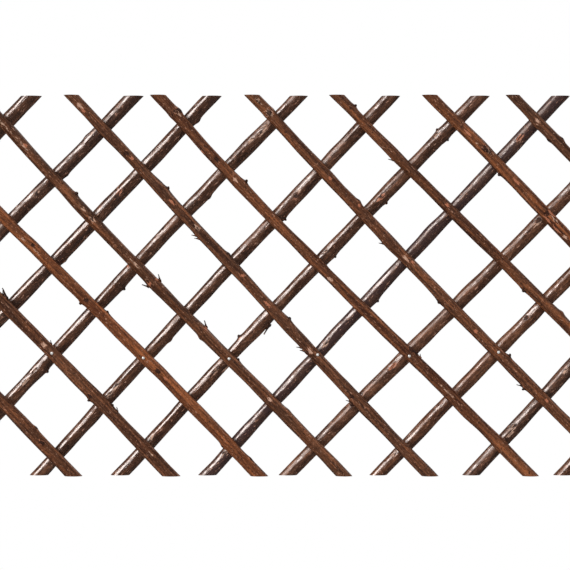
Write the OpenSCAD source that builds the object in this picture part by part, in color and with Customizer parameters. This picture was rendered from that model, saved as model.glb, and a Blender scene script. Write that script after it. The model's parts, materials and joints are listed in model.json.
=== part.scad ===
// Expanding willow trellis panel: a front and a back layer of round sticks with
// their bark on, which cross and turn on one nail at each crossing.
// The origin is on the pivot nail, where the two layers meet. +X is right,
// +Y is towards the wall behind and +Z is up.

/* [Panel] */
// Width of the trimmed panel
panel_w = 720; // [560:5:900]
// Height of the trimmed panel
panel_h = 380; // [300:5:480]
// How far the middle of the panel lies left of the pivot nail
panel_left = 19; // [-30:1:30]
// How far the middle of the panel lies below the pivot nail
panel_below = 22; // [-30:1:30]

/* [Lattice] */
// Level distance from one stick of a layer to the next
pitch = 89.5; // [76:0.5:110]
// Slope of the front sticks, in degrees from level
front_slope = 45.9; // [38:0.1:54]
// Slope of the back sticks, in degrees from level
back_slope = 46.5; // [38:0.1:54]
// Room between the two layers
layer_gap = 0.3; // [0.2:0.05:1]

/* [Sticks] */
// Usual thickness of a front stick
front_d = 11; // [9:0.5:14]
// Usual thickness of a back stick
back_d = 13; // [11:0.5:16]
// How much thicker a front stick is at its lower end than at its upper end
front_taper = 1.2; // [-2:0.1:2]
// How much thicker a back stick is at its lower end than at its upper end
back_taper = -0.5; // [-2:0.1:2]
// Height of the slow swellings along a stick
swell_h = 0.25; // [0:0.05:0.5]
// Length of one slow swelling
swell_len = 95; // [60:5:160]
// Height of a knot above the bark
knot_h = 0.9; // [0:0.1:1.5]
// Length of a knot from its top to where it fades
knot_len = 11; // [8:1:16]

/* [Nails] */
// Thickness of a nail
nail_d = 1.8; // [1.4:0.1:2.4]
// Depth that a nail from behind reaches into a front stick
nail_reach = 7; // [5:0.5:8]
// Length of a nail's point
nail_point = 2.4; // [1.5:0.1:3.5]
// Width of a nail's head
head_d = 3.4; // [2.8:0.1:4.4]
// Thickness of a nail's head
head_t = 0.9; // [0.6:0.1:1.4]
// Depth that a head is pulled into the bark
seat_depth = 0.4; // [0.2:0.1:0.8]
// Room around a nail in a stick that turns on it
pivot_gap = 0.2; // [0.1:0.05:0.4]
// Room between a head and a stick that turns under it
head_gap = 0.3; // [0.2:0.05:0.5]
// Room beyond a nail's point in its hole
point_gap = 0.5; // [0.3:0.1:1]
// Row of crossings nailed from the front, counted down from the pivot nail
front_nail_row = 2; // [-3:1:3]
// Fewest nails that hold a stick: a corner piece with fewer is left out
least_nails = 2; // [2:1:3]

/* [Hidden] */
// Sticks cut by hand differ. A row holds one stick, from left to right: its place off the even
// pitch, its extra thickness, and how far it bows right at its upper end, at one third and at two
// thirds of its run, and at its lower end
front_rows = [
    [-3, 1, 0, 0, 0, 0],
    [5, 1, -1, -0.5, 0.5, -0.5],
    [2, 0.5, -4, -2, 1, 0.5],
    [-3, 0, 4.5, -1.5, -0.5, 1],
    [-0.5, -0.2, 4, 1, -2, -4],
    [0, -0.2, 2, -2.5, 1, 3.5],
    [3, 0, 2.5, -1, -1, 2],
    [4, -0.4, -2.5, -0.5, 2.5, 3.5],
    [5, 0.5, -1, 0.5, -0.5, -1],
    [-2.5, -0.8, 0.5, -0.5, 0, 0]
];
back_rows = [
    [-1, 1.5, 0, 0, 0, 0],
    [10.5, 0.5, 1, 0.5, -2, -2.5],
    [1.5, 0.5, -0.5, 0.5, -0.5, -0.5],
    [-2.5, 0, 1.5, -1, 0.5, 0.5],
    [3.5, 0, -1, -1, 0.5, 5],
    [0, 0, 1.5, -0.5, -1, 1.5],
    [-5, -0.4, -1.5, -1, 0, 3.5],
    [-2, 0.5, 5, 3.5, -1.5, -5.5],
    [-6.5, 0, 1.5, 1, -0.5, -1.5],
    [-7, 0, -1, -1, 0.5, 1.5],
    [-2.5, 0, 0, 0, 0, 0]
];
plain_row = [0, 0, 0, 0, 0, 0];
// Place in both lists of the stick that the pivot nail holds
centre_row = 5;

// Knots: the stick, counted from the centre one, the height, and 1 for its right or -1 for its left side
front_knots = [
    [-5, -164, 1], [-5, -110, -1],
    [-4, -132, 1], [-4, -10, -1],
    [-3, 20, 1], [-3, -36, -1], [-3, -109, 1], [-3, -183, -1],
    [-2, 70, 1], [-2, -20, -1], [-2, -62, 1], [-2, -147, 1],
    [-1, 156, -1], [-1, 73, 1], [-1, 27, -1], [-1, -55, 1], [-1, -139, -1],
    [0, 150, 1], [0, 111, -1], [0, 82, 1], [0, 52, -1], [0, -84, 1], [0, -150, -1],
    [1, 147, 1], [1, 63, 1], [1, 21, -1], [1, -37, -1], [1, -124, -1],
    [2, 157, 1], [2, 104, -1], [2, -50, 1], [2, -110, -1],
    [3, 114, 1], [3, 89, -1], [3, 30, 1],
    [4, 142, -1], [4, 123, 1], [4, 60, -1]
];
back_knots = [
    [-5, 120, 1],
    [-4, 126, -1], [-4, 89, 1], [-4, 10, -1],
    [-3, 143, 1], [-3, 60, -1], [-3, 2, 1],
    [-2, 120, -1], [-2, 66, 1], [-2, -24, 1], [-2, -107, 1],
    [-1, 110, -1], [-1, 46, 1], [-1, -60, -1], [-1, -150, 1],
    [0, 130, -1], [0, 60, 1], [0, 6, 1], [0, -67, 1], [0, -140, -1],
    [1, 132, -1], [1, 30, -1], [1, -39, 1], [1, -120, 1],
    [2, 126, 1], [2, -27, -1], [2, -77, 1], [2, -150, -1],
    [3, 20, -1], [3, -53, 1], [3, -120, -1],
    [4, -60, -1], [4, -160, 1],
    [5, -150, -1]
];

// Sides of a stick's section and the distance between its rings
sides = 12;
ring_step = 12;
round_fn = 32;
furthest_stick = 12;

left_x = -panel_left - panel_w / 2;
right_x = -panel_left + panel_w / 2;
top_z = -panel_below + panel_h / 2;
low_z = -panel_below - panel_h / 2;
nail_r = nail_d / 2;
head_r = head_d / 2;
nail_len = back_d + layer_gap + nail_reach;
panel_depth = 2 * (front_d + back_d + head_t);

// Layer values: the first argument is true for the front layer and false for the back layer
function slope(front) = front ? front_slope : back_slope;
function usual_d(front) = front ? front_d : back_d;
function taper(front) = front ? front_taper : back_taper;
function knots(front) = front ? front_knots : back_knots;
function lean(front) = front ? 1 : -1;
function away(front) = [0, front ? -1 : 1, 0];
function down(front) = [lean(front) * cos(slope(front)), 0, -sin(slope(front))];
function across(front) = [sin(slope(front)), 0, lean(front) * cos(slope(front))];

// Stick values: k counts the sticks of a layer from the one on the pivot nail
function row(front, k) =
    let (rows = front ? front_rows : back_rows, i = k + centre_row)
    i >= 0 && i < len(rows) ? rows[i] : plain_row;
function place(front, k) = k * pitch + row(front, k)[0];
function line_x(front, k, z) = place(front, k) - lean(front) * z / tan(slope(front));
function height_at(front, k, x) = lean(front) * (place(front, k) - x) * tan(slope(front));
function upper_z(front, k) = min(top_z, height_at(front, k, front ? left_x : right_x));
function lower_z(front, k) = max(low_z, height_at(front, k, front ? right_x : left_x));
function run(front, k) = (upper_z(front, k) - lower_z(front, k)) / sin(slope(front));
function below_end(front, k, z) = (upper_z(front, k) - z) / sin(slope(front));

// Bow of a stick at the distance s below its upper end: the cubic through its four values
function bow(front, k, s) =
    let (
        r = row(front, k),
        u = min(1, max(0, s / run(front, k))),
        a = u - 1 / 3,
        b = u - 2 / 3,
        c = u - 1
    )
    4.5 * (r[5] * u * a * b - r[2] * a * b * c) + 13.5 * (r[3] * u * b * c - r[4] * u * a * c);
function swelling(k, s) = swell_h * sin(360 * s / swell_len + 77 * k);
// Radius of a stick at the distance s below its upper end
function radius(front, k, s) =
    let (u = s / run(front, k))
    (usual_d(front) + row(front, k)[1] + taper(front) * (u - 0.5)) / 2 + swelling(k, s);
function sum(list, i = 0) = i < len(list) ? list[i] + sum(list, i + 1) : 0;
// Rise of the knots at the distance s, on the side of the stick at the angle a
function knot_rise(front, k, s, a) = sum([
    for (n = knots(front))
        if (n[0] == k)
            let (
                off = (s - below_end(front, k, n[1])) / knot_len,
                facing = max(0, n[2] * lean(front) * cos(a))
            )
            knot_h * exp(-4 * off * off) * facing
]);

// Point on a stick's skin. The angle 90 faces the other layer
function skin(front, k, s, a) =
    let (
        z = upper_z(front, k),
        r = radius(front, k, s),
        r_a = r + knot_rise(front, k, s, a)
    )
    [line_x(front, k, z), 0, z] + s * down(front) + bow(front, k, s) * across(front)
        + (layer_gap / 2 + r) * away(front)
        + r_a * cos(a) * lean(front) * across(front) - r_a * sin(a) * away(front);

// Crossings and nails: kf is the front stick and kb the back stick
function crossing_z(kf, kb) =
    (place(true, kf) - place(false, kb)) / (1 / tan(front_slope) + 1 / tan(back_slope));
function crossing(kf, kb) = let (z = crossing_z(kf, kb)) [line_x(true, kf, z), 0, z];
function inside(p) =
    p.x > left_x + back_d && p.x < right_x - back_d && p.z > low_z + back_d && p.z < top_z - back_d;
function from_front(kf, kb) = kb - kf == front_nail_row;
function is_centre(kf, kb) = kf == 0 && kb == 0;
// Distance from the middle plane to the outer skin of a stick at a nail, which the bow leaves to one side
function outer_y(front, k, z) =
    let (
        s = below_end(front, k, z),
        r = radius(front, k, s),
        aside = min(r, abs(bow(front, k, s)))
    )
    layer_gap / 2 + r + sqrt(r * r - aside * aside);

// The sticks of a layer that enough nails hold, and a stick's name by its place
all_places = [-furthest_stick : furthest_stick];
function crossings_inside(front, k) = [
    for (other = all_places) if (inside(front ? crossing(k, other) : crossing(other, k))) other
];
function kept(front) = [for (k = all_places) if (len(crossings_inside(front, k)) >= least_nails) k];
front_sticks = kept(true);
back_sticks = kept(false);
function named(piece, k) =
    str(piece, k < 0 ? str("_left_", -k) : k > 0 ? str("_right_", k) : "_centre");

// Untrimmed stick: rings swept down its bowed line, running past both ends of the panel
module swept_stick(front, k) {
    overrun = 2 * usual_d(front);
    length = run(front, k) + 2 * overrun;
    rings = ceil(length / ring_step);
    points = [
        for (i = [0 : rings])
            for (m = [0 : sides - 1])
                skin(front, k, i * length / rings - overrun, m * 360 / sides)
    ];
    walls = [
        for (i = [0 : rings - 1])
            for (m = [0 : sides - 1])
                let (
                    a = i * sides + m,
                    b = i * sides + (m + 1) % sides,
                    c = b + sides,
                    d = a + sides
                )
                each [[a, b, c], [a, c, d]]
    ];
    upper_cap = [for (m = [0 : sides - 1]) sides - 1 - m];
    lower_cap = [for (m = [0 : sides - 1]) rings * sides + m];
    polyhedron(points, concat([upper_cap, lower_cap], walls));
}

module trimmed_stick(front, k) {
    intersection() {
        swept_stick(front, k);
        translate([left_x, -panel_depth / 2, low_z])
            cube([panel_w, panel_depth, panel_h]);
    }
}

// Round hole through a layer, from the depth y1 to the depth y2
module hole(p, r, y1, y2) {
    translate([p.x, y1, p.z])
        rotate([-90, 0, 0])
            cylinder(h = y2 - y1, r = r, $fn = round_fn);
}

// One nail, with the top of its head at the origin and its point towards +Z
module nail() {
    bevel = head_t / 3;
    rotate_extrude($fn = round_fn)
        polygon([
            [0, 0],
            [head_r - bevel, 0],
            [head_r, bevel],
            [head_r, head_t],
            [nail_r, head_t],
            [nail_r, head_t + nail_len - nail_point],
            [0, head_t + nail_len]
        ]);
}

// Depth of a nail head's underside, measured out from the middle plane
function front_head_y(kf, z) = outer_y(true, kf, z) - seat_depth + head_gap;
function back_head_y(kf, kb, z) =
    outer_y(false, kb, z) - seat_depth + (is_centre(kf, kb) ? head_gap : 0);

module placed_nail(kf, kb) {
    p = crossing(kf, kb);
    if (from_front(kf, kb))
        translate([p.x, -front_head_y(kf, p.z) - head_t, p.z])
            rotate([-90, 0, 0])
                nail();
    else
        translate([p.x, back_head_y(kf, kb, p.z) + head_t, p.z])
            rotate([90, 0, 0])
                nail();
}

// Holes in a front stick: right through with a seat, or blind for a nail from behind
module front_holes(kf) {
    for (kb = back_sticks) {
        p = crossing(kf, kb);
        skin_y = outer_y(true, kf, p.z);
        point_y = nail_len - back_head_y(kf, kb, p.z);
        if (inside(p)) {
            if (from_front(kf, kb)) {
                hole(p, nail_r + pivot_gap, -panel_depth / 2, front_d / 2);
                hole(p, head_r + head_gap, -panel_depth / 2, seat_depth - skin_y);
            } else {
                hole(p, nail_r + pivot_gap, -point_y - point_gap, front_d / 2);
            }
        }
    }
}

// Holes in a back stick: right through with a seat, or blind for a nail from the front
module back_holes(kb) {
    for (kf = front_sticks) {
        p = crossing(kf, kb);
        room = is_centre(kf, kb) ? pivot_gap : 0;
        head_room = is_centre(kf, kb) ? head_gap : pivot_gap;
        skin_y = outer_y(false, kb, p.z);
        point_y = nail_len - front_head_y(kf, p.z);
        if (inside(p)) {
            if (from_front(kf, kb)) {
                hole(p, nail_r, -back_d / 2, point_y + point_gap);
            } else {
                hole(p, nail_r + room, -back_d / 2, panel_depth / 2);
                hole(p, head_r + head_room, skin_y - seat_depth, panel_depth / 2);
            }
        }
    }
}

module front_stick(kf) {
    color("#7a4a30")
        difference() {
            trimmed_stick(true, kf);
            front_holes(kf);
        }
}

module back_stick(kb) {
    color("#57352b")
        difference() {
            trimmed_stick(false, kb);
            back_holes(kb);
        }
}

// The nails that one back stick grips
module stick_nails(kb) {
    color("#c9c6c0")
        for (kf = front_sticks)
            if (inside(crossing(kf, kb)) && !is_centre(kf, kb))
                placed_nail(kf, kb);
}

// The nail at the origin, on which both middle sticks turn
module pivot_nail() {
    color("#c9c6c0")
        placed_nail(0, 0);
}

for (k = front_sticks)
    front_stick(k);
for (k = back_sticks)
    back_stick(k);
for (k = back_sticks)
    stick_nails(k);
pivot_nail();
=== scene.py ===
"""Bark, cut ends, twig stubs and nails for the solids of an expanding willow trellis panel."""

import json
import math
import random
from collections import namedtuple

import bmesh
import bpy
import numpy as np
from mathutils import Matrix, Vector, noise

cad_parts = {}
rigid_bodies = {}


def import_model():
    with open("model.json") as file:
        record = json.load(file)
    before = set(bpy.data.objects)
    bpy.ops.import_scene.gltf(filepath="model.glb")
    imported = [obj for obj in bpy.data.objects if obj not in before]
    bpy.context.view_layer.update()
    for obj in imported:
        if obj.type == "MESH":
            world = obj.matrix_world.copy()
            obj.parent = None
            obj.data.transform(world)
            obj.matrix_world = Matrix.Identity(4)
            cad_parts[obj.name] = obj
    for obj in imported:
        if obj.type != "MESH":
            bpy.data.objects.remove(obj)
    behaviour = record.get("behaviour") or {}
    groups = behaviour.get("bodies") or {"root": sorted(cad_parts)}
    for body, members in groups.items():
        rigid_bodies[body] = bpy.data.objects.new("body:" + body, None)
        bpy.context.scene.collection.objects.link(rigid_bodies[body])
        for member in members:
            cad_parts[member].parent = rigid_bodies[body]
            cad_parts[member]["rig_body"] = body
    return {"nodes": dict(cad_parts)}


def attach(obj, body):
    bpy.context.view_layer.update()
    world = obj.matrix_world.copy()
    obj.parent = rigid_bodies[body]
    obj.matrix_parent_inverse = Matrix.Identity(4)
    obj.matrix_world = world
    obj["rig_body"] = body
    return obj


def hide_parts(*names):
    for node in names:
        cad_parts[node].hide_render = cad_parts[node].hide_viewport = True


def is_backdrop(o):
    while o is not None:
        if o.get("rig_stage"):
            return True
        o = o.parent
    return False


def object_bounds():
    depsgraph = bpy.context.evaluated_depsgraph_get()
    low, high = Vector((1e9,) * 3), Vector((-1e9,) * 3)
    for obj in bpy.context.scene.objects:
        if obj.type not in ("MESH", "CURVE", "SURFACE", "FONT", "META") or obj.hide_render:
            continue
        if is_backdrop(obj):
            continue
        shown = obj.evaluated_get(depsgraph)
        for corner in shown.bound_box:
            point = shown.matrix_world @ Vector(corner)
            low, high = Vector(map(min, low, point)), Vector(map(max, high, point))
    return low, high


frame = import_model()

bl_info = {
    "name": "Willow trellis panel",
    "version": (1, 0, 0),
    "blender": (4, 5, 0),
    "location": "View3D > Sidebar > Trellis",
    "description": "Dresses the sticks and nails of an expanding willow trellis panel",
    "category": "Object",
}

MM = 0.001
CAD_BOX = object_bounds()
PANEL_LOW, PANEL_HIGH = (Vector(corner) for corner in CAD_BOX)
NODES = frame["nodes"]
FRONT, BACK = "front", "back"
BARK_FACE, CUT_FACE = 0, 1
# Each ring of facets on a cut end, as a share of the ring outside it
CUT_RINGS = (0.88, 0.75, 0.6)
TOWARDS_VIEWER = Vector((0, -1, 0))
# Shares of a bark's red, green and blue from its dark fibres to its worn ones, at places along a tone
BARK_SHADES = ((0, (0.36, 0.25, 0.18)), (0.5, (0.95, 0.95, 0.94)), (1, (2.1, 2.15, 2.25)))

# What a spot on the bark is like: its rise, half length and half width in mm, how dark, orange and
# pale it is, what grows there, how long that is in mm and how far it leans towards the upper end
Kind = namedtuple(
    "Kind", "rise half_length half_width dark orange pale growth length lean", defaults=(None, 0, 0)
)
KINDS = {
    "stub": Kind(1.1, 3, 2.8, 0.9, 0.3, 0, "stub", 2.2, 0.2),
    "spur": Kind(1.3, 3.4, 3, 1, 0.2, 0, "stub", 3.4, 0.4),
    "thorn": Kind(0.6, 2.5, 2, 0.8, 0.3, 0, "hair", 5.4, 1.3),
    "strip": Kind(0.4, 4, 2, 0.9, 0, 0, "hair", 9, -3),
    "hair": Kind(0.3, 2, 1.5, 0.7, 0.4, 0, "hair", 3.2, 1),
    "peel": Kind(0.4, 4, 2, 0.9, 0, 0, "hair", 8.5, 1.8),
    "rough": Kind(1, 5, 2.8, 0.8, 0.1, 0.3, "stub", 1.8, 0.4),
    "lump": Kind(1.4, 3.2, 2.8, 0.5, 0.3, 0.1),
    "knot": Kind(0.8, 3.6, 2.6, 1.1, 0.4, 0),
    "burl": Kind(1.5, 3.4, 3, 0.9, 0.7, 0.2),
    "collar": Kind(0.8, 3.2, 12, 0.4, 0.3, 0.3),
    "hole": Kind(-0.8, 2.7, 1.9, 1.7, 0.4, 0),
    "gnarl": Kind(-0.4, 5.5, 2.2, 0.7, 0.4, 0.65),
    "gash": Kind(-0.4, 5.5, 2.2, 0.75, 0.9, 0.2),
    "red": Kind(0.2, 2.2, 1.6, 0.1, 0.9, 0),
    "scar": Kind(-0.3, 4.5, 1.2, 0.2, 1.1, 0.2),
    "bare": Kind(-0.4, 3.2, 1.8, 0.1, 0.9, 1),
    "pale": Kind(-0.2, 4, 1.4, 0.1, 0.4, 0.7),
    # A streak is a long pale line of painted sheen along the bark
    "streak": Kind(-0.2, 12, 1.1, 0, 0.3, 0.7),
    # Round a nail head the bark is dented, and darkened there as painted shade
    "nail": Kind(-0.35, 2.2, 2.2, 0.8, 0, 0),
}

# Spots on each stick, counted from the middle one: a spot's height in mm, its angle round the stick in
# degrees from the viewer's side towards the right, and its kind
SPOTS = {
    FRONT: {
        -5: ((-164, 75, "lump"), (-178, 10, "knot")),
        -4: (
            (-34, 75, "peel"), (-31, 75, "hair"), (-80, 75, "hair"), (-81, 5, "bare"),
            (-132, -28, "hole"), (-136, -75, "stub"), (-142, 75, "rough"), (-147, 80, "hair"),
            (-189, 10, "pale"),
        ),
        -3: (
            (25, -15, "pale"), (19, 15, "hole"), (12, -10, "pale"), (-36, 0, "hole"),
            (-39, -75, "stub"), (-49, 75, "rough"), (-108, 0, "knot"), (-115, 5, "red"),
            (-182, -75, "lump"), (-194, 75, "knot"),
        ),
        -2: (
            (137, -15, "streak"), (117, -5, "streak"), (117, 15, "red"), (70, 75, "stub"),
            (55, 5, "pale"), (45, 0, "gnarl"), (0, 0, "streak"), (-16, 75, "thorn"),
            (-15, 50, "red"), (-21, -75, "thorn"), (-19, -35, "red"), (-63, 75, "thorn"),
            (-65, 45, "red"), (-74, -75, "lump"), (-96, 75, "rough"), (-136, 5, "bare"),
            (-147, 75, "knot"),
        ),
        -1: (
            (156, -10, "bare"), (151, -20, "red"), (109, 0, "hole"), (104, 10, "red"),
            (74, 75, "stub"), (61, 0, "scar"), (36, 10, "gnarl"), (28, -75, "hair"),
            (25, -75, "hair"), (9, 75, "lump"), (-12, 10, "red"), (-40, 0, "scar"),
            (-55, 70, "rough"), (-83, -75, "hair"), (-86, -75, "hair"), (-88, -50, "burl"),
            (-87, -10, "bare"), (-132, -20, "hole"), (-136, -80, "hair"), (-139, -75, "spur"),
        ),
        0: (
            # The pale spot at 146 mm on this stick is painted sheen
            (150, 20, "collar"), (150, 65, "lump"), (146, 25, "pale"), (111, -70, "red"),
            (104, 5, "hole"), (84, 0, "bare"), (82, 75, "spur"), (52, -70, "red"), (2, 75, "rough"),
            (-15, -25, "bare"), (-86, 60, "burl"), (-90, 80, "spur"), (-94, 75, "hair"),
            (-127, 0, "streak"),
        ),
        1: (
            (160, 0, "gnarl"), (149, 5, "collar"), (148, 0, "gnarl"), (84, 0, "red"),
            (62, 75, "lump"), (58, 30, "red"), (21, -75, "hair"), (6, 0, "bare"), (2, 20, "red"),
            (-37, -70, "rough"), (-67, -10, "red"), (-92, 75, "spur"), (-121, -80, "hair"),
            (-124, -75, "spur"), (-137, 10, "red"),
        ),
        2: (
            (157, 75, "stub"), (104, -75, "hair"), (58, 5, "red"), (-27, -75, "rough"),
            (-50, 75, "lump"),
        ),
        3: (
            (129, -5, "scar"), (118, -15, "pale"), (114, 5, "knot"), (111, 15, "gnarl"),
            (89, -75, "stub"), (81, 5, "scar"), (50, 40, "scar"), (49, 0, "hole"),
            (43, -35, "scar"), (42, 15, "gnarl"), (33, -40, "scar"), (26, -25, "bare"),
        ),
        4: ((142, 0, "bare"), (123, -75, "lump"), (124, 75, "lump")),
    },
    BACK: {
        -4: ((130, -30, "pale"), (128, -75, "knot"), (89, 75, "lump"), (70, -10, "gnarl")),
        -3: ((143, 75, "burl"), (71, -10, "gash"), (66, 10, "hole"), (3, 75, "lump")),
        -2: (
            (138, -30, "gnarl"), (131, 0, "gnarl"), (123, -20, "gnarl"), (66, 75, "lump"),
            (-3, -45, "red"), (-25, 75, "stub"), (-106, -25, "gnarl"), (-118, -10, "gnarl"),
            (-107, 75, "stub"),
        ),
        -1: (
            (72, -10, "pale"), (67, 0, "hole"), (45, 75, "stub"), (-77, 75, "lump"),
            (-122, -20, "gnarl"), (-131, -10, "gnarl"), (-156, -20, "streak"),
        ),
        0: (
            (134, -75, "rough"), (128, -40, "gnarl"), (125, 75, "rough"), (66, -5, "gash"),
            (61, 75, "stub"), (12, -30, "gnarl"), (7, 75, "rough"), (-63, 75, "strip"),
            (-74, -75, "stub"), (-106, -10, "gnarl"), (-106, 65, "bare"), (-174, -20, "gnarl"),
        ),
        1: ((126, -15, "gash"), (-37, 75, "rough"), (-81, -15, "gnarl"), (-189, -20, "gnarl")),
        2: ((45, -30, "hole"), (42, -10, "gnarl"), (-104, -15, "gash")),
        3: ((-54, -30, "hole"), (-190, -30, "gnarl")),
        4: ((-108, -10, "gnarl"), (-162, -25, "gnarl"), (-170, 0, "gnarl")),
    },
}
# Kinds of the spots that are strewn over the side of a stick that the viewer doesn't see
FAR_SIDE_KINDS = ("knot", "scar", "pale", "stub", "hole", "red")
FAR_SIDE_SPACING = 55 * MM
FAR_SIDE_ANGLES = (135, 225)
# A spot has faded out at this many times its half length
SPOT_REACH = 3

# How warm the bark of each stick is, and how much it shines at its upper and at its lower end.
# The leftmost stick comes first
TONES = {
    FRONT: (
        (0.4, 0.3, 0.3), (0.25, 0.3, 0.3), (0.95, 0.4, 0.4), (0.15, 0.9, 0.5), (0.15, 0.5, 0.4),
        (0.52, 0.4, 0.4), (0.33, 0.5, 0.4), (0.42, 0.5, 0.5), (0.65, 0.5, 0.5), (0, 0.4, 0.3),
    ),
    BACK: (
        (0.05, 1, 1), (0.05, 0.6, 0.75), (0, 1, 1), (0.4, 0.6, 1), (0.45, 0.5, 0.9), (0.5, 0.45, 1),
        (-0.4, 0.5, 0.8), (0.9, 0.4, 0.4), (1, 0.6, 0.7), (0.15, 0.45, 0.5), (0.4, 0.8, 0.8),
    ),
}
LEFTMOST = -5
# Without a seed, the bumps of twig stubs and loose fibres would differ from run to run
NOISE_SEED = 7
# Middle value of a noise texture
NOISE_MIDDLE = 0.5

# Width across and length along a stick of the lumps in its relief
FLUTE_SIZE = (3 * MM, 40 * MM)
WAVE_SIZE = (9 * MM, 27 * MM)
GRAIN_SIZE = (1.3 * MM, 11.7 * MM)
# Bark may take up this share of the room between a stick and the plane where the layers meet
GAP_SHARE = 1 / 3
# Length of a stick's wandering off its line, and how far apart the sticks lie in that pattern
SWAY_LENGTH = 45 * MM
SWAY_SHIFT = 7.3
# Each stick takes its own stretch of the patterns, and the layers lie well apart in them
STICK_SHIFT = 1
LAYER_SHIFT = 20
# Twigs stay this far from the cut ends, and sticks are made this much too long before they are cut
END_MARGIN = 12 * MM
# Twigs grow only where a stick's side faces the other layer by less than this
TWIG_FACING = 0.3
# From the first to the second share of a stick's radius, what stands off its bark turns dark
TWIG_SHARES = (1.12, 1.31)
TWIG_DARKNESS = 0.95
# Points closer than this are one point
WELD = 1e-6
# Points closer than this to a cutting plane lie in it
CUT_SNAP = 1e-7

# A nail's outline, first its head's as shares of the head's radius and of its dome's height, then its
# neck's as shares of the shank's radius and of the dome's height
HEAD_OUTLINE = ((0, 0), (0.35, 0.04), (0.65, 0.2), (0.88, 0.5), (1, 0.9), (0.97, 1.3), (0.9, 1.45))
NECK_OUTLINE = ((1.15, 1.6), (1, 2.2))
# Height of the dome as a share of the head's radius
DOME_SHARE = 0.35
NAIL_POINT = 2.2 * MM
NAIL_SIDES = 20
# The points of a nail's solid beyond this share of its width are the rim of its head
HEAD_RIM = 0.9
# A nail goes into a stick if it lies within this share of the stick's radius from its line
NAIL_REACH = 0.9

# Where the lamps stand, seen from the panel, and how wide they are
KEY_SIDE = Vector((-0.65, -0.54, 0.55))
RIGHT_SIDE = Vector((0.75, -0.25, 0.6))
REAR_SIDE = Vector((0.4, 0.8, 0.45))
RIGHT_SIZE = math.radians(30)
REAR_SIZE = math.radians(60)
FLOOR_WHITE = (0.93, 0.93, 0.93)


def length_property(name, description, default):
    return bpy.props.FloatProperty(
        name=name, description=description, default=default, unit="LENGTH"
    )


def brightness_property(name, description, default):
    return bpy.props.FloatProperty(name=name, description=description, default=default)


def colour_property(name, description, default):
    return bpy.props.FloatVectorProperty(
        name=name, description=description, subtype="COLOR", size=3, default=default, min=0, max=1
    )


class TrellisRelief(bpy.types.PropertyGroup):
    """Sizes of the bark's relief"""

    sides: bpy.props.IntProperty(
        name="Sides", description="Facets round a stick", default=40, min=12, max=80
    )
    ring_step: length_property("Ring step", "Distance between rings of facets", 1.5 * MM)
    bark: length_property("Bark", "Thickness of the bark over the even rod", 0.2 * MM)
    flute_depth: length_property("Flute depth", "Depth of the long flutes", 0.28 * MM)
    wave_depth: length_property("Wave depth", "Height of the soft lumps", 0.45 * MM)
    grain_depth: length_property("Grain depth", "Depth of the fine ridges", 0.07 * MM)
    sway: length_property("Sway", "How far a stick wanders off its line", 0.4 * MM)
    stub_width: length_property("Stub width", "Thickness of a twig stub", 3.2 * MM)
    head_width: length_property("Nail head", "Width of a nail's head", 2.8 * MM)
    shank_width: length_property("Nail shank", "Thickness of a nail", 1.8 * MM)
    hair_width: length_property("Hair width", "Thickness of a loose bark fibre", 1.9 * MM)


class TrellisColours(bpy.types.PropertyGroup):
    """Colours of bark, wood and steel"""

    front_cool: colour_property(
        "Front bark, cool", "Dull bark of the front sticks", (0.081, 0.0305, 0.0137)
    )
    front_warm: colour_property(
        "Front bark, warm", "Reddish bark of the front sticks", (0.153, 0.0455, 0.0137)
    )
    back_cool: colour_property(
        "Back bark, cool", "Dull bark of the back sticks", (0.066, 0.026, 0.013)
    )
    back_warm: colour_property(
        "Back bark, warm", "Reddish bark of the back sticks", (0.115, 0.041, 0.016)
    )
    back_violet: colour_property(
        "Back bark, violet", "Coldest bark of the back sticks", (0.05, 0.025, 0.026)
    )
    knot: colour_property("Knot", "Knots and holes", (0.021, 0.006, 0.003))
    scar: colour_property("Scar", "Inner bark where the bark is torn off", (0.38, 0.135, 0.07))
    # Also the colour of the painted sheen on pale streaks
    scuff_and_sheen: colour_property("Scuff", "Dry wood where the bark is scraped off", (0.5, 0.33, 0.24))
    cut: colour_property("Cut wood", "Wood at the cut ends", (0.46, 0.31, 0.17))
    cut_ring: colour_property("Year ring", "Rings and cracks at the cut ends", (0.2, 0.105, 0.05))
    steel: colour_property("Steel", "Nails", (0.8, 0.79, 0.76))
    rust: colour_property("Rust", "Stains on the nails", (0.2, 0.09, 0.04))


class TrellisStage(bpy.types.PropertyGroup):
    """Camera, lights and floor"""

    frame_width: length_property("Frame width", "Width of the view at the panel", 0.57)
    view_x: length_property("View X", "Middle of the view", -34.4 * MM)
    view_z: length_property("View Z", "Middle of the view", -21.5 * MM)
    distance: length_property("Distance", "From the camera to the panel", 2.2)
    key_light: brightness_property("Key light", "Brightness of the light from the upper left", 2.9)
    key_size: bpy.props.FloatProperty(
        name="Key size",
        description="Width of the key light",
        default=math.radians(30),
        subtype="ANGLE",
    )
    side_light: brightness_property("Side light", "Brightness of the light from the upper right", 0.5)
    rear_light: brightness_property("Rear light", "Brightness of the light from behind", 1.1)
    fill: brightness_property("Fill", "Brightness of the light from all round", 0.6)
    reflected: brightness_property("Reflected", "Brightness of the background in reflections", 0.06)
    floor_drop: length_property("Floor drop", "From the lower ends down to the floor", 0.21)


class Wire:
    """An output socket. Sums and products of wires and numbers add Math nodes."""

    def __init__(self, finish, socket):
        self.finish = finish
        self.socket = socket

    def math(self, operation, first, second):
        return self.finish.node("ShaderNodeMath", {"operation": operation}, {0: first, 1: second})

    def __add__(self, other):
        return self.math("ADD", self, other)

    def __sub__(self, other):
        return self.math("SUBTRACT", self, other)

    def __rsub__(self, other):
        return self.math("SUBTRACT", other, self)

    def __mul__(self, other):
        return self.math("MULTIPLY", self, other)

    def swing(self, amount):
        """What a noise is above or below its middle value, times an amount."""
        return (self - NOISE_MIDDLE) * amount

    def larger(self, other):
        return self.math("MAXIMUM", self, other)

    __radd__ = __add__
    __rmul__ = __mul__


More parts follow.
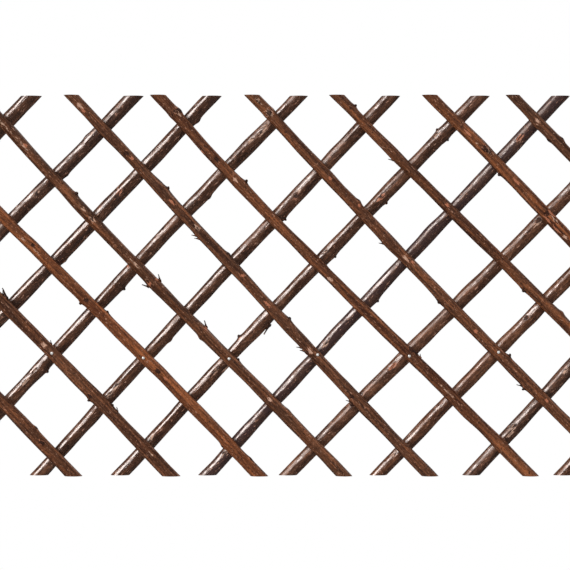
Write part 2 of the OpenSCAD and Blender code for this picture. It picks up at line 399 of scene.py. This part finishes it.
class Finish:
    """The node tree of a material or of the world."""

    def __init__(self, owner):
        owner.use_nodes = True
        self.owner = owner
        self.tree = owner.node_tree
        self.tree.nodes.clear()

    def node(self, kind, settings=None, inputs=None, output=0):
        """Adds a node: its settings first, then the values or links of its sockets."""
        made = self.tree.nodes.new(kind)
        for name, value in (settings or {}).items():
            if name == "stops":
                self.set_stops(made.color_ramp, value)
            else:
                setattr(made, name, value)
        for name, value in (inputs or {}).items():
            if isinstance(value, Wire):
                self.tree.links.new(value.socket, made.inputs[name])
            else:
                made.inputs[name].default_value = value
        return Wire(self, made.outputs[output]) if len(made.outputs) else None

    @staticmethod
    def set_stops(ramp, stops):
        while len(ramp.elements) < len(stops):
            ramp.elements.new(1)
        for element, (position, colour) in zip(ramp.elements, stops):
            element.position = position
            element.color = (*colour, 1)

    def attribute(self, name, output):
        return self.node("ShaderNodeAttribute", {"attribute_name": name}, {}, output)

    def scaled(self, vector, scale):
        return self.node("ShaderNodeVectorMath", {"operation": "MULTIPLY"}, {0: vector, 1: scale})

    def grain(self, vector, width, length, detail=4, roughness=0.6):
        """Noise whose lumps are that wide across a stick and that long along it."""
        stretched = self.scaled(vector, (1 / width, 1 / width, 1 / length))
        values = {"Vector": stretched, "Scale": 1, "Detail": detail, "Roughness": roughness}
        return self.node("ShaderNodeTexNoise", {}, values)

    def step(self, value, low, high):
        """0 below low and 1 above high, with a soft step between them."""
        values = {"Value": value, "From Min": low, "From Max": high}
        return self.node("ShaderNodeMapRange", {"interpolation_type": "SMOOTHSTEP"}, values)

    def mix(self, share, first, second):
        first, second = (c if isinstance(c, Wire) else (*c, 1) for c in (first, second))
        return self.node("ShaderNodeMix", {"data_type": "RGBA"}, {0: share, 6: first, 7: second}, 2)

    def ramp(self, value, stops):
        return self.node("ShaderNodeValToRGB", {"stops": stops}, {"Fac": value})

    def bump(self, height, distance, strength=1):
        values = {"Height": height, "Distance": distance, "Strength": strength}
        return self.node("ShaderNodeBump", {}, values)

    def surface(self, **sockets):
        """Ends a material in a Principled shader."""
        values = {name.replace("_", " ").title(): value for name, value in sockets.items()}
        if "Specular Level" in values:
            values["Specular IOR Level"] = values.pop("Specular Level")
        shader = self.node("ShaderNodeBsdfPrincipled", {}, values)
        self.node("ShaderNodeOutputMaterial", {}, {"Surface": shader})
        return self.owner


def material(name):
    return Finish(bpy.data.materials.new(name))


def bark_marks(finish):
    """How dark, orange and pale a stick's spots make its bark."""
    marks = {"inputs": {"Color": finish.attribute("bark_marks", "Color")}}
    return [finish.node("ShaderNodeSeparateColor", output=channel, **marks) for channel in range(3)]


def marked(finish, colour, colours, ragged):
    """Colour with the knots, scars and scraped patches that a stick's spots give it, with the painted
    shade round nail heads and the painted sheen on pale streaks, with ragged edges.
    """
    dark, orange, pale = bark_marks(finish)
    torn = ragged.swing(2.4)
    colour = finish.mix(finish.step(orange + torn, 0.3, 0.6), colour, colours.scar)
    # Pale spots are scraped dry wood, and on streaks painted sheen
    colour = finish.mix(finish.step(pale + torn, 0.35, 0.7) * 0.8, colour, colours.scuff_and_sheen)
    # Dark spots are knots and holes, and round nail heads painted shade
    colour = finish.mix(finish.step(dark - torn, 0.4, 0.8) * 0.9, colour, colours.knot)
    return colour


def shaded(finish, tone, warmth, cool, warm):
    """Bark colour from dark to light over a tone, between a dull and a reddish bark."""
    def ramp(colour):
        return finish.ramp(tone, [(at, np.multiply(colour, shares)) for at, shares in BARK_SHADES])

    return finish.mix(warmth, ramp(cool), ramp(warm))


def stick_tone(finish):
    """How warm and how shiny the bark of a stick is."""
    tone = {"inputs": {"Color": finish.attribute("stick_tone", "Color")}}
    return [finish.node("ShaderNodeSeparateColor", output=channel, **tone) for channel in (0, 1)]


def front_bark(colours):
    """Dull brown bark with long fibres, dark pores and pale flecks."""
    finish = material("front_bark")
    place = finish.attribute("stick_place", "Vector")
    streaks = finish.grain(place, 2.6 * MM, 120 * MM, detail=2, roughness=0.5)
    fibres = finish.grain(place, 0.9 * MM, 11 * MM, detail=3)
    patches = finish.grain(place, 7 * MM, 28 * MM, detail=3)
    pores = finish.grain(place, 1.4 * MM, 2.6 * MM, detail=2)
    flecks = finish.grain(place, 1.3 * MM, 3.5 * MM, detail=3, roughness=0.7)
    tone = 0.5 + streaks.swing(2.1) + patches.swing(0.4)
    tone = tone + fibres.swing(1.1) + flecks.swing(1)
    warmth, shine = stick_tone(finish)
    warmth = warmth + patches.swing(1.5)
    colour = shaded(finish, tone, warmth, colours.front_cool, colours.front_warm)
    colour = finish.mix(finish.step(pores, 0.56, 0.68) * 0.8, colour, colours.knot)
    colour = finish.mix(finish.step(flecks, 0.59, 0.72) * 0.5, colour, colours.scuff_and_sheen)
    colour = marked(finish, colour, colours, flecks)
    worn = finish.step(streaks + fibres + shine, 1.2, 1.7)
    return finish.surface(
        base_color=colour,
        roughness=0.75 - worn * 0.35,
        specular_level=0.25,
        specular_tint=(1, 0.86, 0.8, 1),
        normal=finish.bump(streaks + fibres + flecks * 0.7 - pores, 0.7 * MM, 0.8),
    )


def back_bark(colours):
    """Dark smooth bark with a broken shine."""
    finish = material("back_bark")
    place = finish.attribute("stick_place", "Vector")
    flutes = finish.grain(place, 2.6 * MM, 26 * MM, detail=4)
    patches = finish.grain(place, 9 * MM, 24 * MM, detail=3)
    mottle = finish.grain(place, 2.2 * MM, 4 * MM, detail=3, roughness=0.7)
    tears = finish.grain(place, 2.2 * MM, 8 * MM, detail=3)
    splits = finish.grain(place, 1.1 * MM, 5 * MM, detail=2)
    fibres = finish.grain(place, 0.5 * MM, 7 * MM, detail=3, roughness=0.7)
    pores = finish.grain(place, 1.2 * MM, 1.5 * MM, detail=2)
    tone = 0.41 + patches.swing(1.2) + flutes.swing(1.2)
    tone = tone + mottle.swing(1.2) + fibres.swing(1.4)
    warmth, shine = stick_tone(finish)
    warmth = warmth + patches.swing(1.5) + tears.swing(1)
    colour = shaded(finish, tone, warmth, colours.back_cool, colours.back_warm)
    colour = finish.mix(finish.step(0 - warmth, 0, 0.5) * 0.7, colour, colours.back_violet)
    colour = finish.mix(finish.step(tears, 0.6, 0.74) * 0.35, colour, colours.scar)
    colour = finish.mix(finish.step(1 - pores, 0.64, 0.7) * 0.7, colour, colours.knot)
    colour = finish.mix(finish.step(pores, 0.66, 0.72) * 0.4, colour, colours.scuff_and_sheen)
    colour = marked(finish, colour, colours, NOISE_MIDDLE + tears.swing(0.6) + splits.swing(0.9))
    dark, orange, _ = bark_marks(finish)
    torn = finish.step(dark + orange + mottle.swing(3), 0.4, 1)
    dull = finish.step(tears + patches * 0.6 + (1 - shine) * 0.4, 0.86, 1).larger(torn)
    return finish.surface(
        base_color=colour,
        roughness=0.22 + dull * 0.18 + torn * 0.6,
        specular_level=1,
        specular_tint=(1, 0.84, 0.77, 1),
        coat_weight=(1 - dull) * 0.6,
        coat_roughness=0.2,
        normal=finish.bump(flutes + tears + fibres * 0.15, 0.8 * MM, 0.5),
    )


def cut_wood(colours):
    """Sawn end of a stick: a ring of bark, pale wood with year rings and cracks, and a dark pith."""
    finish = material("cut_wood")
    place = finish.attribute("stick_place", "Vector")
    share = finish.attribute("bark_marks", "Alpha")
    uneven = finish.grain(place, 2.5 * MM, 2.5 * MM, detail=3)
    saw = finish.grain(place, 0.5 * MM, 0.5 * MM, detail=4, roughness=0.7)
    rings = finish.node("ShaderNodeMath", {"operation": "SINE"}, {0: share * 32 + uneven * 5})
    colour = finish.mix(finish.step(rings, 0.1, 1) * 0.55, colours.cut, colours.cut_ring)
    colour = finish.mix(finish.step(saw, 0.5, 0.75) * 0.5, colour, colours.cut_ring)
    colour = finish.mix(finish.step(uneven, 0.55, 0.7) * 0.4, colour, colours.scuff_and_sheen)
    pith = 1 - finish.step(share + saw.swing(0.2), 0.1, 0.2)
    rim = finish.step(share + saw.swing(0.1), 0.84, 0.9)
    colour = finish.mix(pith.larger(rim) * 0.85, colour, colours.back_cool)
    height = rings * 0.3 + saw - pith
    return finish.surface(
        base_color=colour, roughness=0.75 + saw.swing(0.3), normal=finish.bump(height, 0.25 * MM)
    )


def nail_steel(colours):
    """Zinc-coated wire nail with scratches, stained where water runs off its head."""
    finish = material("nail_steel")
    place = finish.node("ShaderNodeTexCoord", output="Object")
    scratches = finish.grain(place, 0.35 * MM, 0.35 * MM, detail=4, roughness=0.7)
    stains = finish.grain(place, 1.3 * MM, 1.3 * MM, detail=4, roughness=0.7)
    stained = finish.step(stains, 0.56, 0.68)
    dulled = Vector(colours.steel) * 0.4
    colour = finish.mix(finish.step(scratches, 0.5, 0.7) * 0.3, colours.steel, dulled)
    return finish.surface(
        base_color=finish.mix(stained * 0.75, colour, colours.rust),
        metallic=0.35 - stained * 0.3,
        roughness=0.3 + scratches * 0.2 + stained * 0.25,
        normal=finish.bump(scratches + stained * 0.4, 0.15 * MM, 0.6),
    )


Nail = namedtuple("Nail", "node head point")


def islands(bm):
    """Lists of the points of each separate solid."""
    seen = set()
    for start in bm.verts:
        if start not in seen:
            seen.add(start)
            found = [start]
            for v in found:
                for edge in v.link_edges:
                    near = edge.other_vert(v)
                    if near not in seen:
                        seen.add(near)
                        found.append(near)
            yield found


def read_nails():
    """The middle of each nail's head and the tip of its point, read off the CAD solids."""
    for node in NODES:
        if "nail" not in node:
            continue
        bm = bmesh.new()
        bm.from_mesh(NODES[node].data)
        bmesh.ops.remove_doubles(bm, verts=bm.verts, dist=WELD)
        for solid in islands(bm):
            points = np.array([v.co for v in solid])
            x, z = (points[:, axis].min() / 2 + points[:, axis].max() / 2 for axis in (0, 2))
            wide = np.hypot(points[:, 0] - x, points[:, 2] - z)
            rim = points[wide > HEAD_RIM * wide.max(), 1].mean()
            ends = sorted((points[:, 1].min(), points[:, 1].max()), key=lambda y: abs(y - rim))
            yield Nail(node, Vector((x, ends[0], z)), Vector((x, ends[1], z)))
        bm.free()


NAILS = tuple(read_nails())


class Stick:
    """Centre line and thickness of one stick, read off slices of its CAD solid."""

    slice_step = 6 * MM

    def __init__(self, layer, index):
        place = f"left_{-index}" if index < 0 else f"right_{index}" if index > 0 else "centre"
        self.node = f"{layer}_stick_{place}"
        self.body = f"{layer}_{place}"
        self.layer = layer
        self.index = index
        self.random = random.Random(self.node)
        mesh = NODES[self.node].data
        points = np.array([v.co for v in mesh.vertices])
        edges = np.array([e.vertices for e in mesh.edges])
        self.middle = Vector(points.mean(0))
        axis = np.linalg.svd(points - points.mean(0), full_matrices=False)[2][0]
        self.down = Vector(axis if axis[2] < 0 else -axis)
        self.down.y = 0
        self.down.normalize()
        self.right = Vector((-self.down.z, 0, self.down.x))
        self.outward = -1 if layer == FRONT else 1
        self.pattern_start = STICK_SHIFT * index + LAYER_SHIFT * self.outward
        self.gap = float(np.abs(points[:, 1]).min())
        along = (points - points.mean(0)) @ np.array(self.down)
        aside = (points - points.mean(0)) @ np.array(self.right)
        self.upper, self.lower = float(along.min()), float(along.max())
        self.read_slices(along, aside, edges)
        self.spots = [*self.seen_spots(), *self.far_side_spots(), *self.nail_spots()]

    def read_slices(self, along, aside, edges):
        """Middle and radius of slices square to the stick, clear of its sloping cut ends."""
        margin = 20 * MM
        count = int((self.lower - self.upper - 2 * margin) / self.slice_step)
        self.at = np.linspace(self.upper + margin, self.lower - margin, count)
        middles, radii = [], []
        first, second = edges[:, 0], edges[:, 1]
        for s in self.at:
            cut = (along[first] - s) * (along[second] - s) < 0
            a, b = first[cut], second[cut]
            share = (s - along[a]) / (along[b] - along[a])
            crossing = aside[a] + share * (aside[b] - aside[a])
            middles.append((crossing.max() + crossing.min()) / 2)
            radii.append((crossing.max() - crossing.min()) / 2)
        soft = np.array([0.25, 0.5, 0.25])
        self.middles = np.convolve(np.pad(middles, 1, "edge"), soft, "valid")
        self.radii = np.convolve(np.pad(radii, 1, "edge"), soft, "valid")

    def along(self, height):
        """Distance along the stick of a height in metres."""
        return (height - self.middle.z) / self.down.z

    def seen_spots(self):
        """The spots in the table, moved from their own heights to those of the centre line."""
        for height, angle, kind in SPOTS[self.layer].get(self.index, ()):
            turn = math.radians(angle)
            above_middle = self.radius(self.along(height * MM)) * math.sin(turn) * self.right.z
            yield self.along(height * MM - above_middle), turn, KINDS[kind]

    def far_side_spots(self):
        """Spots strewn over the side away from the viewer."""
        for _ in range(int((self.lower - self.upper) / FAR_SIDE_SPACING)):
            s = self.random.uniform(self.upper, self.lower)
            angle = math.radians(self.random.uniform(*FAR_SIDE_ANGLES))
            yield s, angle, KINDS[self.random.choice(FAR_SIDE_KINDS)]

    def nail_spots(self):
        """The dents of the nail heads on this stick, with painted shade round each head."""
        for nail in NAILS:
            off = nail.head - self.middle
            s = off.dot(self.down)
            aside = off.dot(self.right) - float(np.interp(s, self.at, self.middles))
            share = aside / self.radius(s)
            if abs(share) < NAIL_REACH and off.y * self.outward > 0 and self.upper < s < self.lower:
                turn = math.asin(share)
                yield s, math.pi - turn if self.layer == BACK else turn, KINDS["nail"]

    def radius(self, s):
        return float(np.interp(s, self.at, self.radii))

    def centre(self, s, sway=0):
        r = self.radius(s)
        aside = float(np.interp(s, self.at, self.middles))
        aside += sway * noise.noise(Vector((s / SWAY_LENGTH, SWAY_SHIFT * self.index, self.outward)))
        point = self.middle + s * self.down + aside * self.right
        point.y = self.outward * (self.gap + r)
        return point

    def normal(self, angle):
        return math.cos(angle) * TOWARDS_VIEWER + math.sin(angle) * self.right

    def pattern_place(self, s, angle, r):
        """The same point on a straight stick: patterns follow the stick in these coordinates."""
        return Vector((r * math.sin(angle), r * math.cos(angle), s + self.pattern_start))

    def spots_near(self, s):
        """The spots that reach a ring of the stick."""
        return [
            spot for spot in self.spots if abs(s - spot[0]) < SPOT_REACH * spot[2].half_length * MM
        ]

    def relief(self, s, angle, r, spots, sizes):
        """Height of the bark above the stick's even skin, kept out of the gap between the layers."""
        p = self.pattern_place(s, angle, r)
        height = sizes.bark
        depths = (sizes.flute_depth, sizes.wave_depth, sizes.grain_depth)
        for depth, (width, length) in zip(depths, (FLUTE_SIZE, WAVE_SIZE, GRAIN_SIZE)):
            height += depth * noise.noise(Vector((p.x / width, p.y / width, p.z / length)))
        for spot in spots:
            height += spot[2].rise * MM * float(nearness(s, angle, r, spot))
        return min(height, GAP_SHARE * self.gap + r * (1 - self.facing(angle)))

    def facing(self, angle):
        """1 on the side that lies against the other layer, -1 on the side away from it."""
        return math.cos(angle) * self.outward


def nearness(s, angle, r, spot):
    """1 in the middle of a spot, falling off to 0 round it. Takes numbers or arrays."""
    spot_s, spot_angle, kind = spot
    lengths = (s - spot_s) / (kind.half_length * MM)
    turn = (angle - spot_angle + math.pi) % (2 * math.pi) - math.pi
    widths = turn * r / (kind.half_width * MM)
    return np.exp(-lengths * lengths - widths * widths)


def cut_ends(bm):
    """Trims a stick's tube at the four edges of the panel and closes it with cut faces."""
    for axis in (0, 2):
        for limit, sign in ((PANEL_LOW, -1), (PANEL_HIGH, 1)):
            plane = Vector((0, 0, 0))
            plane[axis] = sign
            geometry = bm.verts[:] + bm.edges[:] + bm.faces[:]
            cut = bmesh.ops.bisect_plane(
                bm, geom=geometry, dist=CUT_SNAP, plane_co=limit, plane_no=plane, clear_outer=True
            )
            rim = [e for e in cut["geom_cut"] if isinstance(e, bmesh.types.BMEdge) and e.is_boundary]
            if rim:
                for face in bmesh.ops.edgeloop_fill(bm, edges=rim)["faces"]:
                    face.material_index = CUT_FACE


def detail_cut_faces(bm):
    """Gives each cut face rings of facets, from the bark in to the pith."""
    cut = [f for f in bm.faces if f.material_index == CUT_FACE]
    for face in cut:
        for edge in face.edges:
            edge.smooth = False
        to_middle = Matrix.Translation(-face.calc_center_median())
        for share in CUT_RINGS:
            bmesh.ops.inset_individual(bm, faces=[face], thickness=0)
            bmesh.ops.scale(bm, vec=(share, share, share), space=to_middle, verts=face.verts)
    bmesh.ops.poke(bm, faces=cut)


def tapered_twig(base, direction, length, widths, segments, cuts):
    """A twig of its own with rings along it, its foot sunk in the bark."""
    sunk_share, lengthwise_share = 0.35, 0.8
    twig = bmesh.new()
    sunk = sunk_share * length
    turn = direction.to_track_quat("Z", "Y").to_matrix().to_4x4()
    bmesh.ops.create_cone(
        twig, cap_ends=True, segments=segments, radius1=widths[0] / 2, radius2=widths[1] / 2,
        depth=length + sunk, matrix=Matrix.Translation(base + direction * (length - sunk) / 2) @ turn,
    )
    lengthwise = []
    for edge in twig.edges:
        run = edge.verts[1].co - edge.verts[0].co
        if abs(run.dot(direction)) > lengthwise_share * run.length:
            lengthwise.append(edge)
    bmesh.ops.subdivide_edges(twig, edges=lengthwise, cuts=cuts)
    return twig


def stub(stick, base, normal, kind, sizes):
    """A knobbly bud, blunt where a twig broke off it."""
    sunk, blunt_from = 0.4, 0.7
    lean_spread, width_spread = (-0.3, 0.3), (0.85, 1.2)
    bump_height, bump_width = 0.35 * MM, 1.1 * MM
    lean = kind.lean + stick.random.uniform(*lean_spread)
    direction = (normal - lean * stick.down).normalized()
    width = sizes.stub_width * stick.random.uniform(*width_spread)
    height = kind.length * MM
    bud = bmesh.new()
    bmesh.ops.create_icosphere(bud, subdivisions=3, radius=1)
    bmesh.ops.scale(bud, vec=(width / 2, width / 2, height), verts=bud.verts)
    for v in bud.verts:
        v.co.z = min(v.co.z, blunt_from * height + (1 - blunt_from) * v.co.z)
    turn = direction.to_track_quat("Z", "Y").to_matrix().to_4x4()
    foot = base - sunk * height * direction
    bmesh.ops.transform(bud, matrix=Matrix.Translation(foot) @ turn, verts=bud.verts)
    for v in bud.verts:
        v.co += bump_height * noise.noise_vector(v.co / bump_width)
    return bud


def hair(stick, base, normal, kind, sizes):
    """A loose sliver of bark, wide at its foot, whose tip bends to run along the stick."""
    usual_length, foot_fade, tip_share = 6, 6, 0.5
    length_spread, bend_spread = (0.85, 1.15), (0.1, 0.4)
    bump_height, bump_width = 0.25 * MM, 1.5 * MM
    direction = (normal - kind.lean * stick.down).normalized()
    length = kind.length * MM * stick.random.uniform(*length_spread)
    bend = -math.copysign(stick.random.uniform(*bend_spread) * length, kind.lean) * stick.down
    width = sizes.hair_width * math.sqrt(kind.length / usual_length)
    widths = (width, tip_share * width)
    fibre = tapered_twig(base, direction, length, widths, segments=8, cuts=12)
    for v in fibre.verts:
        along = (v.co - base).dot(direction)
        share = max(0, along / length)
        off = v.co - base - along * direction
        v.co += off * math.exp(-foot_fade * share) + bend * share * share
        v.co += bump_height * noise.noise_vector(v.co / bump_width)
    return fibre


GROWTHS = {"stub": stub, "hair": hair}


def grow_twigs(bm, stick, sizes):
    """Adds what grows on a stick's spots to its mesh, clear of the other layer and of the cut ends."""
    for s, angle, kind in stick.spots:
        inside = stick.upper + END_MARGIN < s < stick.lower - END_MARGIN
        if kind.growth and inside and stick.facing(angle) < TWIG_FACING:
            normal = stick.normal(angle)
            r = stick.radius(s)
            rise = stick.relief(s, angle, r, stick.spots_near(s), sizes)
            base = stick.centre(s, sizes.sway) + (r + rise) * normal
            join(bm, GROWTHS[kind.growth](stick, base, normal, kind, sizes))


def stick_mesh(stick, sizes):
    """Closed mesh of a stick: bark with its relief, cut ends and what grows on it."""
    bm = bmesh.new()
    upper, lower = stick.upper - END_MARGIN, stick.lower + END_MARGIN
    rings = math.ceil((lower - upper) / sizes.ring_step)
    bmesh.ops.create_grid(bm, x_segments=sizes.sides, y_segments=rings, size=1)
    bm.verts.ensure_lookup_table()
    for ring in range(rings + 1):
        s = upper + (lower - upper) * ring / rings
        r = stick.radius(s)
        centre = stick.centre(s, sizes.sway)
        spots = stick.spots_near(s)
        for v in bm.verts[ring * (sizes.sides + 1) : (ring + 1) * (sizes.sides + 1)]:
            angle = math.pi * v.co.x
            v.co = centre + (r + stick.relief(s, angle, r, spots, sizes)) * stick.normal(angle)
    bmesh.ops.remove_doubles(bm, verts=bm.verts, dist=WELD)
    cut_ends(bm)
    bmesh.ops.recalc_face_normals(bm, faces=bm.faces)
    detail_cut_faces(bm)
    grow_twigs(bm, stick, sizes)
    bmesh.ops.recalc_face_normals(bm, faces=bm.faces)
    for face in bm.faces:
        face.smooth = face.material_index == BARK_FACE
    mesh = bpy.data.meshes.new(stick.node)
    bm.to_mesh(mesh)
    bm.free()
    return mesh


def write_attribute(mesh, name, kind, field, values):
    """Gives each point of a mesh a value of its own."""
    mesh.attributes.new(name, kind, "POINT").data.foreach_set(field, values.ravel())


def mark_mesh(mesh, stick):
    """Writes each point's place on the stick, its marks and its share of the radius as attributes."""
    count = len(mesh.vertices)
    points = np.empty(3 * count)
    mesh.vertices.foreach_get("co", points)
    off = points.reshape(-1, 3) - np.array(stick.middle)
    s = off @ np.array(stick.down)
    r = np.interp(s, stick.at, stick.radii)
    aside = off @ np.array(stick.right) - np.interp(s, stick.at, stick.middles)
    forward = stick.outward * (stick.gap + r) - points[1::3]
    places = np.column_stack((aside, forward, s + stick.pattern_start))
    marks = np.zeros((count, 4))
    marks[:, 3] = np.hypot(aside, forward) / r
    marks[:, 0] = np.interp(marks[:, 3], TWIG_SHARES, (0, TWIG_DARKNESS))
    for spot in stick.spots:
        near = nearness(s, np.arctan2(aside, forward), r, spot)
        for channel, share in enumerate((spot[2].dark, spot[2].orange, spot[2].pale)):
            marks[:, channel] += share * near
    write_attribute(mesh, "stick_place", "FLOAT_VECTOR", "vector", places)
    write_attribute(mesh, "bark_marks", "FLOAT_COLOR", "color", marks)
    warmth, upper_shine, lower_shine = TONES[stick.layer][stick.index - LEFTMOST]
    tones = np.zeros((count, 4))
    tones[:, 0] = warmth
    tones[:, 1] = np.interp(points[2::3], (PANEL_LOW.z, PANEL_HIGH.z), (lower_shine, upper_shine))
    write_attribute(mesh, "stick_tone", "FLOAT_COLOR", "color", tones)


def make_stick(layer, index, bark, wood, sizes):
    stick = Stick(layer, index)
    mesh = stick_mesh(stick, sizes)
    mark_mesh(mesh, stick)
    mesh.materials.append(bark)
    mesh.materials.append(wood)
    piece = bpy.data.objects.new(f"{stick.body}_bark", mesh)
    bpy.context.scene.collection.objects.link(piece)
    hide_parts(stick.node)
    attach(piece, stick.body)


def stick_indices(layer):
    """Counts of a layer's sticks from the middle one, read off the frame's names."""
    for name in NODES:
        words = name.split("_")
        if words[:2] == [layer, "stick"]:
            yield 0 if words[2] == "centre" else int(words[3]) * (-1 if words[2] == "left" else 1)


def make_sticks(context, layer, bark):
    noise.seed_set(NOISE_SEED)
    scene = context.scene
    wood = bpy.data.materials.get("cut_wood") or cut_wood(scene.trellis_colours)
    for index in sorted(stick_indices(layer)):
        make_stick(layer, index, bark, wood, scene.trellis_relief)


class TRELLIS_OT_front_sticks(bpy.types.Operator):
    """Make the front layer of sticks"""

    bl_idname = "trellis.front_sticks"
    bl_label = "Front sticks"

    def execute(self, context):
        make_sticks(context, FRONT, front_bark(context.scene.trellis_colours))
        return {"FINISHED"}


class TRELLIS_OT_back_sticks(bpy.types.Operator):
    """Make the back layer of sticks"""

    bl_idname = "trellis.back_sticks"
    bl_label = "Back sticks"

    def execute(self, context):
        make_sticks(context, BACK, back_bark(context.scene.trellis_colours))
        return {"FINISHED"}


def nail_mesh(bm, nail, sizes):
    """Adds one nail: a domed head marked by the hammer, a neck, a shank and a point."""
    dent_depth, dent_width = 0.08 * MM, 0.6 * MM
    length = (nail.point - nail.head).length
    head, shank = sizes.head_width / 2, sizes.shank_width / 2
    dome = DOME_SHARE * head
    outline = [(r * head, y * dome) for r, y in HEAD_OUTLINE]
    outline += [(r * shank, y * dome) for r, y in NECK_OUTLINE]
    outline += [(shank, length - NAIL_POINT), (0, length)]
    part = bmesh.new()
    line = [part.verts.new((r, 0, y)) for r, y in outline]
    edges = [part.edges.new(pair) for pair in zip(line, line[1:])]
    bmesh.ops.spin(
        part, geom=line + edges, cent=(0, 0, 0), axis=(0, 0, 1), angle=2 * math.pi, steps=NAIL_SIDES,
        use_merge=True,
    )
    bmesh.ops.remove_doubles(part, verts=part.verts, dist=WELD)
    bmesh.ops.recalc_face_normals(part, faces=part.faces)
    for v in part.verts:
        if v.co.z < dome:
            v.co.z += dent_depth * noise.noise((v.co + nail.head) / dent_width)
    turn = (nail.point - nail.head).to_track_quat("Z", "Y").to_matrix().to_4x4()
    bmesh.ops.transform(part, matrix=Matrix.Translation(nail.head) @ turn, verts=part.verts)
    join(bm, part)


def join(bm, part):
    """Adds a part that was made on its own, and frees it."""
    mesh = bpy.data.meshes.new("part")
    part.to_mesh(mesh)
    part.free()
    bm.from_mesh(mesh)
    bpy.data.meshes.remove(mesh)


class TRELLIS_OT_nails(bpy.types.Operator):
    """Make the nails of each back stick, and the one that the middle sticks turn on"""

    bl_idname = "trellis.nails"
    bl_label = "Nails"

    def execute(self, context):
        steel = nail_steel(context.scene.trellis_colours)
        for node in sorted({nail.node for nail in NAILS}):
            bm = bmesh.new()
            for nail in NAILS:
                if nail.node == node:
                    nail_mesh(bm, nail, context.scene.trellis_relief)
            for face in bm.faces:
                face.smooth = True
            mesh = bpy.data.meshes.new(f"{node}_steel")
            bm.to_mesh(mesh)
            bm.free()
            mesh.materials.append(steel)
            piece = bpy.data.objects.new(f"{node}_steel", mesh)
            context.scene.collection.objects.link(piece)
            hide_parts(node)
            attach(piece, NODES[node]["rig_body"])
        return {"FINISHED"}


class TRELLIS_OT_stage(bpy.types.Operator):
    """Set up the camera, the lights, the white background and the floor"""

    bl_idname = "trellis.stage"
    bl_label = "Stage"

    def execute(self, context):
        scene = context.scene
        stage = scene.trellis_stage
        scene.view_settings.view_transform = "Standard"
        self.add_camera(scene, stage)
        self.add_sun(scene, "key", KEY_SIDE, stage.key_light, stage.key_size)
        self.add_sun(scene, "side", RIGHT_SIDE, stage.side_light, RIGHT_SIZE)
        self.add_sun(scene, "rear", REAR_SIDE, stage.rear_light, REAR_SIZE)
        self.set_world(scene, stage)
        self.add_floor(scene, stage)
        return {"FINISHED"}

    @staticmethod
    def add_camera(scene, stage):
        data = bpy.data.cameras.new("camera")
        data.lens = data.sensor_width * stage.distance / stage.frame_width
        camera = bpy.data.objects.new("camera", data)
        camera.location = (stage.view_x, -stage.distance, stage.view_z)
        camera.rotation_euler = (math.pi / 2, 0, 0)
        scene.collection.objects.link(camera)
        scene.camera = camera

    @staticmethod
    def add_sun(scene, name, towards, strength, size):
        data = bpy.data.lights.new(name, "SUN")
        data.energy = strength
        data.angle = size
        lamp = bpy.data.objects.new(name, data)
        lamp.rotation_euler = towards.to_track_quat("Z", "Y").to_euler()
        scene.collection.objects.link(lamp)

    @staticmethod
    def background(finish, stage):
        """White where the camera sees it, dimmer in reflections and in the light that it gives."""
        camera, through, glossy = (
            finish.node("ShaderNodeLightPath", output=f"Is {ray} Ray")
            for ray in ("Camera", "Transmission", "Glossy")
        )
        given = glossy * stage.reflected + (1 - glossy) * stage.fill
        return camera.larger(through).larger(given)

    def set_world(self, scene, stage):
        scene.world = bpy.data.worlds.new("white")
        finish = Finish(scene.world)
        values = {"Color": (1, 1, 1, 1), "Strength": self.background(finish, stage)}
        sky = finish.node("ShaderNodeBackground", {}, values)
        finish.node("ShaderNodeOutputWorld", {}, {"Surface": sky})

    def add_floor(self, scene, stage):
        bm = bmesh.new()
        bmesh.ops.create_grid(bm, x_segments=1, y_segments=1, size=1)
        level = PANEL_LOW.z - stage.floor_drop
        half_width, half_depth, forward = 1.1, 0.75, 0.25
        bmesh.ops.scale(bm, vec=(half_width, half_depth, 1), verts=bm.verts)
        bmesh.ops.translate(bm, vec=(0, -forward, level), verts=bm.verts)
        mesh = bpy.data.meshes.new("floor")
        bm.to_mesh(mesh)
        bm.free()
        finish = material("floor")
        colour = finish.ramp(self.background(finish, stage), ((0, (0, 0, 0)), (1, FLOOR_WHITE)))
        mesh.materials.append(finish.surface(base_color=colour, roughness=0.9, specular_level=0))
        floor = bpy.data.objects.new("floor", mesh)
        scene.collection.objects.link(floor)
        floor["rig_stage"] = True


class TRELLIS_PT_panel(bpy.types.Panel):
    """Sizes, colours and steps of the trellis panel"""

    bl_label = "Willow trellis"
    bl_idname = "TRELLIS_PT_panel"
    bl_space_type = "VIEW_3D"
    bl_region_type = "UI"
    bl_category = "Trellis"

    def draw(self, context):
        layout = self.layout
        for group in SETTINGS:
            settings = getattr(context.scene, group)
            box = layout.box()
            for name in settings.__annotations__:
                box.prop(settings, name)
        for operator in OPERATORS:
            layout.operator(operator.bl_idname)


OPERATORS = (TRELLIS_OT_front_sticks, TRELLIS_OT_back_sticks, TRELLIS_OT_nails, TRELLIS_OT_stage)
SETTINGS = {
    "trellis_relief": TrellisRelief,
    "trellis_colours": TrellisColours,
    "trellis_stage": TrellisStage,
}
CLASSES = (*SETTINGS.values(), *OPERATORS, TRELLIS_PT_panel)


def register():
    for cls in CLASSES:
        bpy.utils.register_class(cls)
    for name, cls in SETTINGS.items():
        setattr(bpy.types.Scene, name, bpy.props.PointerProperty(type=cls))


def unregister():
    for name in SETTINGS:
        delattr(bpy.types.Scene, name)
    for cls in reversed(CLASSES):
        bpy.utils.unregister_class(cls)


def main():
    register()
    bpy.ops.trellis.front_sticks()
    bpy.ops.trellis.back_sticks()
    bpy.ops.trellis.nails()
    bpy.ops.trellis.stage()
    boxes = {"cad": CAD_BOX, "visual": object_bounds()}
    sizes = {name: [list(corner) for corner in box] for name, box in boxes.items()}


if __name__ == "__main__":
    main()
